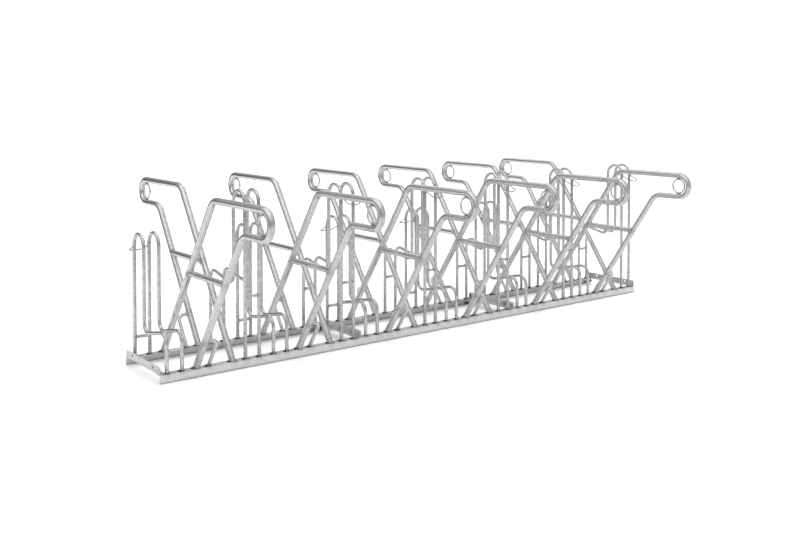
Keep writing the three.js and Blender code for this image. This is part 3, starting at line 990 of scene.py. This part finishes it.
def galvanised(
    name, tone, roughness, spangle_size, spangle_share, patch_share, metal_share, painted_edge_shade_height=0
):
    """Zinc on steel: crystals, cloudy patches, fine grain, darker, rougher places near welds, and on rails
    painted shade at the lower edge.
    """
    material, tree, shader = new_material(name)
    coords = node(tree, "ShaderNodeTexCoord").outputs["Object"]
    chance = node(tree, "ShaderNodeObjectInfo").outputs["Random"]
    shift = vector_node(tree, "MULTIPLY", CHANCE_SHIFT, chance)[0]
    place = vector_node(tree, "ADD", coords, shift)[0]
    warp = clouds(tree, place, WARP_SCALE, WARP_DETAIL)["Color"]
    warped = vector_node(tree, "MULTIPLY_ADD", warp, WARP_REACH, place)[0]
    crystals = node(tree, "ShaderNodeTexVoronoi", [("Vector", warped), ("Scale", 1 / spangle_size)]).outputs
    crystal = node(tree, "ShaderNodeSeparateColor", [(0, crystals["Color"])]).outputs
    patches = clouds(tree, place, PATCH_SCALE, PATCH_DETAIL, PATCH_ROUGHNESS)["Fac"]
    grain = clouds(tree, place, GRAIN_SCALE, GRAIN_DETAIL)["Fac"]
    weld = node(tree, "ShaderNodeAttribute", attribute_name="weld_nearness").outputs["Fac"]
    stain = math_node(tree, "MULTIPLY", math_node(tree, "POWER", weld, STAIN_FADE), patches)

    crystal_tone = swing(tree, crystal[0], spangle_share)
    shade = math_node(tree, "ADD", crystal_tone, swing(tree, patches, patch_share))
    shade = math_node(tree, "ADD", shade, swing(tree, grain, GRAIN_SHARE))
    shade = math_node(tree, "ADD", shade, 1)
    shade = math_node(tree, "SUBTRACT", shade, math_node(tree, "MULTIPLY", stain, STAIN_TONE_SHARE))
    # On rails: painted contact shade along the lower edge, and soot near the welds
    if painted_edge_shade_height:
        shade = with_soot_and_painted_edge_shade(tree, shade, coords, place, weld, painted_edge_shade_height)
    tree.links.new(vector_node(tree, "MULTIPLY", tone, shade)[0], shader.inputs["Base Color"])

    crystal_gloss = swing(tree, crystal[1], CRYSTAL_GLOSS_SHARE)
    rough = math_node(tree, "ADD", crystal_gloss, swing(tree, patches, PATCH_GLOSS_SHARE))
    rough = math_node(tree, "ADD", rough, math_node(tree, "MULTIPLY", stain, STAIN_ROUGHNESS))
    rough = math_node(tree, "ADD", rough, roughness)
    tree.links.new(rough, shader.inputs["Roughness"])

    relief = math_node(tree, "MULTIPLY", crystals["Distance"], CRYSTAL_RELIEF_SHARE)
    fine = [("Strength", GRAIN_BUMP), ("Distance", GRAIN_BUMP_HEIGHT), ("Height", grain)]
    coarse = [("Strength", CRYSTAL_BUMP), ("Distance", CRYSTAL_BUMP_HEIGHT), ("Height", relief)]
    grainy = node(tree, "ShaderNodeBump", fine).outputs[0]
    uneven = node(tree, "ShaderNodeBump", [*coarse, ("Normal", grainy)]).outputs[0]
    tree.links.new(uneven, shader.inputs["Normal"])
    shader.inputs["Metallic"].default_value = metal_share
    return material


def with_soot_and_painted_edge_shade(tree, shade, coords, place, weld, painted_edge_shade_height):
    """A rail's shade with painted contact shade, darker towards its lower edge where it stands on the
    floor, and spots of soot on its top near the welds.
    """
    height = node(tree, "ShaderNodeSeparateXYZ", [(0, coords)]).outputs["Z"]
    # Painted shade: darker towards the lower edge, fading out a few millimetres up
    inputs = [(0, height), (1, 0), (2, painted_edge_shade_height), (3, PAINTED_EDGE_SHADE_SHARE), (4, 0)]
    shade = math_node(tree, "SUBTRACT", shade, node(tree, "ShaderNodeMapRange", inputs).outputs[0])
    on_top = math_node(tree, "COMPARE", height, SOOT_LEVEL, SOOT_BAND)
    spots = clouds(tree, place, 1 / SOOT_SPOT_SIZE, SOOT_SPOT_DETAIL)["Fac"]
    spotted = smooth_share(tree, spots, SOOT_SPOT_START, SOOT_SPOT_END)
    soot = math_node(tree, "MULTIPLY", math_node(tree, "POWER", weld, SOOT_FADE), spotted)
    soot = math_node(tree, "MULTIPLY", math_node(tree, "MULTIPLY", soot, on_top), SOOT_SHARE)
    return math_node(tree, "MULTIPLY", shade, math_node(tree, "SUBTRACT", 1, soot))


def floor_paint():
    """White paper, lifted a little for the camera, with a painted reflection: the metal mirrors it darker,
    most of all in front.
    """
    material, tree, shader = new_material("floor_white")
    coords = node(tree, "ShaderNodeTexCoord").outputs["Object"]
    forward = vector_node(tree, "DOT_PRODUCT", coords, -Y_AXIS)["Value"]
    front = smooth_share(tree, forward, FRONT_START, FRONT_END)
    # Painted reflection: glossy rays see the floor darker, darkest in front
    mirrored = blend(tree, front, FLOOR_MIRRORED_TONE, FLOOR_MIRRORED_FRONT_TONE)
    path = node(tree, "ShaderNodeLightPath").outputs
    tree.links.new(blend(tree, path["Is Glossy Ray"], FLOOR_TONE, mirrored), shader.inputs["Base Color"])
    lift = math_node(tree, "MULTIPLY", path["Is Camera Ray"], FLOOR_LIFT)
    tree.links.new(lift, shader.inputs["Emission Strength"])
    shader.inputs["Emission Color"].default_value = WHITE
    shader.inputs["Roughness"].default_value = 1
    shader.inputs["Specular IOR Level"].default_value = 0
    return material


def tone_ramp(tree, height, tones):
    """A grey for each height on the dome, from tones given at degrees above the floor."""
    ramp = node(tree, "ShaderNodeValToRGB", [(0, height)])
    elements = ramp.color_ramp.elements
    while len(elements) < len(tones):
        elements.new(RAMP_MIDDLE)
    for element, (degrees, tone) in zip(elements, tones):
        element.position = math.sin(math.radians(degrees))
        element.color = (tone, tone, tone, 1)
    return ramp.outputs[0]


def side_share(tree, place, degrees, facing_range):
    """How far a place on the dome lies towards a side: 0 to 1."""
    angle = math.radians(degrees)
    towards = (math.cos(angle), math.sin(angle), 0)
    facing = vector_node(tree, "DOT_PRODUCT", place, towards)["Value"]
    return smooth_share(tree, facing, *facing_range)


def dome_light():
    """The studio above the floor: dim low down, with its own tones on each side, and white on top."""
    material, tree, shader = new_material("dome_light")
    tree.nodes.remove(shader)
    coords = node(tree, "ShaderNodeTexCoord").outputs["Object"]
    place = vector_node(tree, "NORMALIZE", coords)[0]
    height = node(tree, "ShaderNodeSeparateXYZ", [(0, place)]).outputs["Z"]
    level = vector_node(tree, "NORMALIZE", vector_node(tree, "MULTIPLY", coords, X_AXIS + Y_AXIS)[0])[0]
    tones = tone_ramp(tree, height, OPEN_SIDE_TONES)
    for side_tones, degrees, facing_range in (
        (FAR_SIDE_TONES, FAR_SIDE_DEGREES, FAR_SIDE_FACING),
        (DARK_SIDE_TONES, DARK_SIDE_DEGREES, DARK_SIDE_FACING),
        (LEFT_SIDE_TONES, LEFT_SIDE_DEGREES, LEFT_SIDE_FACING),
    ):
        share = side_share(tree, level, degrees, facing_range)
        inputs = [(0, share), (6, tones), (7, tone_ramp(tree, height, side_tones))]
        tones = node(tree, "ShaderNodeMix", inputs, data_type="RGBA").outputs[2]
    glow = node(tree, "ShaderNodeEmission", [("Color", tones)]).outputs[0]
    tree.links.new(glow, tree.nodes["Material Output"].inputs["Surface"])
    return material


# Studio: floor, dome that only reflections see, world and lamp

def stage_object(name, shape, material):
    thing = bpy.data.objects.new(name, shape.mesh(name))
    thing.data.materials.append(material)
    bpy.context.scene.collection.objects.link(thing)
    return thing


def only_in_reflections(thing):
    thing.visible_camera = False
    thing.visible_diffuse = False
    thing.visible_transmission = False
    thing.visible_volume_scatter = False
    thing.visible_shadow = False


def add_studio():
    floor = Shape()
    corners = ((-1, -1), (1, -1), (1, 1), (-1, 1))
    floor.points = [Vector((x, y, 0)) * FLOOR_HALF for x, y in corners]
    floor.faces = [(0, 1, 2, 3)]
    floor.finishes = [0]
    stage_object("studio_floor", floor, floor_paint())

    dome = Shape()
    rings = []
    for step in range(DOME_STEPS + 1):
        angle = math.radians(DOME_TOP_DEGREES) * step / DOME_STEPS
        centre = Z_AXIS * DOME_RADIUS * math.sin(angle)
        rings.append(circle(centre, X_AXIS, Y_AXIS, DOME_RADIUS * math.cos(angle), DOME_SIDES))
    dome.loft(rings, capped=False)
    only_in_reflections(stage_object("studio_dome", dome, dome_light()))

    lamp = bpy.data.lights.new("key", "SUN")
    lamp.angle = math.radians(KEY_SPREAD_DEGREES)
    lamp.energy = KEY_STRENGTH
    key = bpy.data.objects.new("key", lamp)
    key.rotation_mode = "QUATERNION"
    key.rotation_quaternion = Vector(KEY_FROM).to_track_quat("Z", "Y")
    key.visible_glossy = False
    bpy.context.scene.collection.objects.link(key)


def add_world():
    """A white world that lights the rack slightly more than it shows to the camera and the metal."""
    world = bpy.data.worlds.new("studio")
    world.use_nodes = True
    tree = world.node_tree
    path = node(tree, "ShaderNodeLightPath").outputs
    seen = math_node(tree, "ADD", path["Is Camera Ray"], path["Is Glossy Ray"])
    seen = math_node(tree, "ADD", seen, path["Is Transmission Ray"])
    seen = math_node(tree, "MINIMUM", seen, 1)
    strength = math_node(tree, "MULTIPLY_ADD", seen, 1 - SKY_STRENGTH, SKY_STRENGTH)
    background = tree.nodes["Background"]
    background.inputs["Color"].default_value = WHITE
    tree.links.new(strength, background.inputs["Strength"])
    bpy.context.scene.world = world


def add_camera():
    data = bpy.data.cameras.new("photo_camera")
    data.sensor_width = CAMERA_SENSOR
    data.lens = CAMERA_LENS
    data.shift_x = CAMERA_SHIFT_X
    data.shift_y = CAMERA_SHIFT_Y
    camera = bpy.data.objects.new("photo_camera", data)
    right = Vector(CAMERA_RIGHT).normalized()
    up = Vector(CAMERA_UP)
    up = (up - right * up.dot(right)).normalized()
    turn = Matrix((right, up, right.cross(up))).transposed()
    camera.matrix_world = Matrix.Translation(CAMERA_PLACE) @ turn.to_4x4()
    bpy.context.scene.collection.objects.link(camera)
    bpy.context.scene.camera = camera


# Assembly

def place_along(x, turn):
    return Matrix.Translation((x, 0, 0)) @ Matrix.Rotation(turn, 4, "Z")


def foot_places_on_rail(front):
    """Where the feet on one rail of a module stand, in the rail's own frame."""
    places = []
    for unit in range(UNITS_PER_MODULE):
        start = (unit - UNITS_PER_MODULE / 2) * UNIT_PITCH
        centres = [start + HOLDER_INSET, start + UNIT_PITCH - HOLDER_INSET]
        places.extend(centre + way * ROD_SPREAD / 2 for centre in centres for way in (-1, 1))
        near_frame = start + LEAN_FRAME_INSET
        far_frame = start + UNIT_PITCH - LEAN_FRAME_INSET
        places.extend([near_frame, far_frame])
        places.append(near_frame + BRACE_OFFSET if front else far_frame - BRACE_OFFSET)
    turn = -1 if front else 1
    return [Vector((turn * x, LEG_Y, ANGLE_LEG)) for x in places]


def add_base(rail_finish, cross_finishes, bolt_finish):
    # The small hole is always at the front, also where the angle is turned about
    cross_meshes = {end: cross_angle_mesh(-end) for end in (1, -1)}
    for module in range(MODULE_COUNT):
        number = module + 1
        middle = (module + 1 / 2) * MODULE_LENGTH - RACK_LENGTH / 2
        for label, turn in (("back", 0), ("front", math.pi)):
            feet = foot_places_on_rail(label == "front")
            at = place_along(middle, turn)
            name = f"steel_rail_{label}_{number}"
            rail = finish_piece(name, rail_shape(feet).mesh(name), [rail_finish], at, feet)
            stand_for(rail, f"rail_{label}_{number}")
        for label, turn, end in (("right", 0, 1), ("left", math.pi, -1)):
            at = place_along(middle + end * BAR_LENGTH / 2, turn)
            welds, stains = cross_angle_welds(number * CROSS_ANGLE_SEED_STEP + end, end)
            mesh = joined_mesh(cross_meshes[end], welds.mesh("welds"))
            plate = finish_piece(f"steel_cross_angle_{label}_{number}", mesh, cross_finishes, at, stains)
            stand_for(plate, f"cross_angle_{label}_{number}")
    bolt_z = SEAT_HEIGHT + BOLT_HOLE_RISE
    for joint in range(1, MODULE_COUNT):
        for label, side in (("front", -1), ("back", 1)):
            x = joint * MODULE_LENGTH - RACK_LENGTH / 2
            at = Matrix.Translation((x, side * BOLT_HOLE_SPREAD / 2, bolt_z))
            mesh = joint_bolt().mesh("bolt")
            bolt = finish_piece(f"threaded_bolt_{label}_{joint}", mesh, [bolt_finish], at, [])
            stand_for(bolt, f"joint_bolt_{label}_{joint}")


def add_wheel_holders(finishes):
    low_spacers = [(LEG_Y, ANGLE_LEG + STOP_SPACER_RISE)]
    tall_spacers = [
        (-LEG_Y, ANGLE_LEG + STOP_SPACER_RISE + TALL_HOOP_LIFT),
        (LEG_Y, ANGLE_LEG + ENTRY_SPACER_RISE),
    ]
    for unit in range(UNIT_COUNT):
        start = unit * UNIT_PITCH - RACK_LENGTH / 2
        low_x = start + HOLDER_INSET
        tall_x = start + UNIT_PITCH - HOLDER_INSET
        kinds = (
            ("low", low_x, 1, 0, low_spacers, LOW_HOLDER_SEED),
            ("tall", tall_x, -1, TALL_HOOP_LIFT, tall_spacers, TALL_HOLDER_SEED),
        )
        for label, x, side, lift, spacers, seed in kinds:
            shape, stains = wheel_holder(side, lift, spacers, unit * HOLDER_SEED_STEP + seed)
            at = Matrix.Translation((x, 0, 0))
            name = f"rod_holder_{label}_{unit + 1}"
            piece = finish_piece(name, shape.mesh(name), finishes, at, stains)
            stand_for(piece, f"wheel_holder_{label}_{unit + 1}")


def add_lean_frames(tube_finishes, ring_finishes):
    for unit in range(UNIT_COUNT):
        start = unit * UNIT_PITCH - RACK_LENGTH / 2
        stations = (
            ("front", start + LEAN_FRAME_INSET, 0, -1, FRONT_FRAME_SEED),
            ("back", start + UNIT_PITCH - LEAN_FRAME_INSET, math.pi, 1, BACK_FRAME_SEED),
        )
        for label, x, turn, left, seed in stations:
            at = place_along(x, turn)
            seed += unit * FRAME_SEED_STEP
            shape, stains = lean_frame(seed, left)
            name = f"tube_frame_{label}_{unit + 1}"
            piece = finish_piece(name, shape.mesh(name), tube_finishes, at, stains)
            stand_for(piece, f"lean_frame_{label}_{unit + 1}")
            shape, stains = lock_ring(seed + RING_SEED)
            name = f"bar_ring_{label}_{unit + 1}"
            ring = finish_piece(name, shape.mesh(name), ring_finishes, at, stains)
            stand_for(ring, f"lock_ring_{label}_{unit + 1}")


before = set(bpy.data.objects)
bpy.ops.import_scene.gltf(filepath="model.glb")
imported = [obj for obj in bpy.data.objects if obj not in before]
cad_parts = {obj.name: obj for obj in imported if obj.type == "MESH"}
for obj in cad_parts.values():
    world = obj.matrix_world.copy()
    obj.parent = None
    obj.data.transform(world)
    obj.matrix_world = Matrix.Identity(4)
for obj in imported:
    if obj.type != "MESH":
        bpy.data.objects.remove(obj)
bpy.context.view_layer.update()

zinc = {name: galvanised(name, **looks) for name, looks in ZINC_FINISHES.items()}
foot_weld_zinc = zinc["zinc_on_foot_weld"]
joint_weld_zinc = zinc["zinc_on_joint_weld"]
# The near-black finish: slag, and painted shade on the hole walls, beside the feet and at the back rail's
# ends
slag_and_shade = zinc["slag_and_painted_shade"]

add_base(
    zinc["zinc_on_rolled_angle_with_painted_edge_shade"],
    [zinc["zinc_on_cross_angle"], foot_weld_zinc, slag_and_shade],
    zinc["zinc_on_bolt"],
)
add_wheel_holders([zinc["zinc_on_rod"], foot_weld_zinc, slag_and_shade, joint_weld_zinc, zinc["zinc_on_wire"]])
add_lean_frames(
    [zinc["zinc_on_tube"], foot_weld_zinc, slag_and_shade, joint_weld_zinc],
    [zinc["zinc_on_ring_bar"], foot_weld_zinc],
)
add_studio()
add_world()
add_camera()
bpy.context.scene.view_settings.view_transform = "Standard"
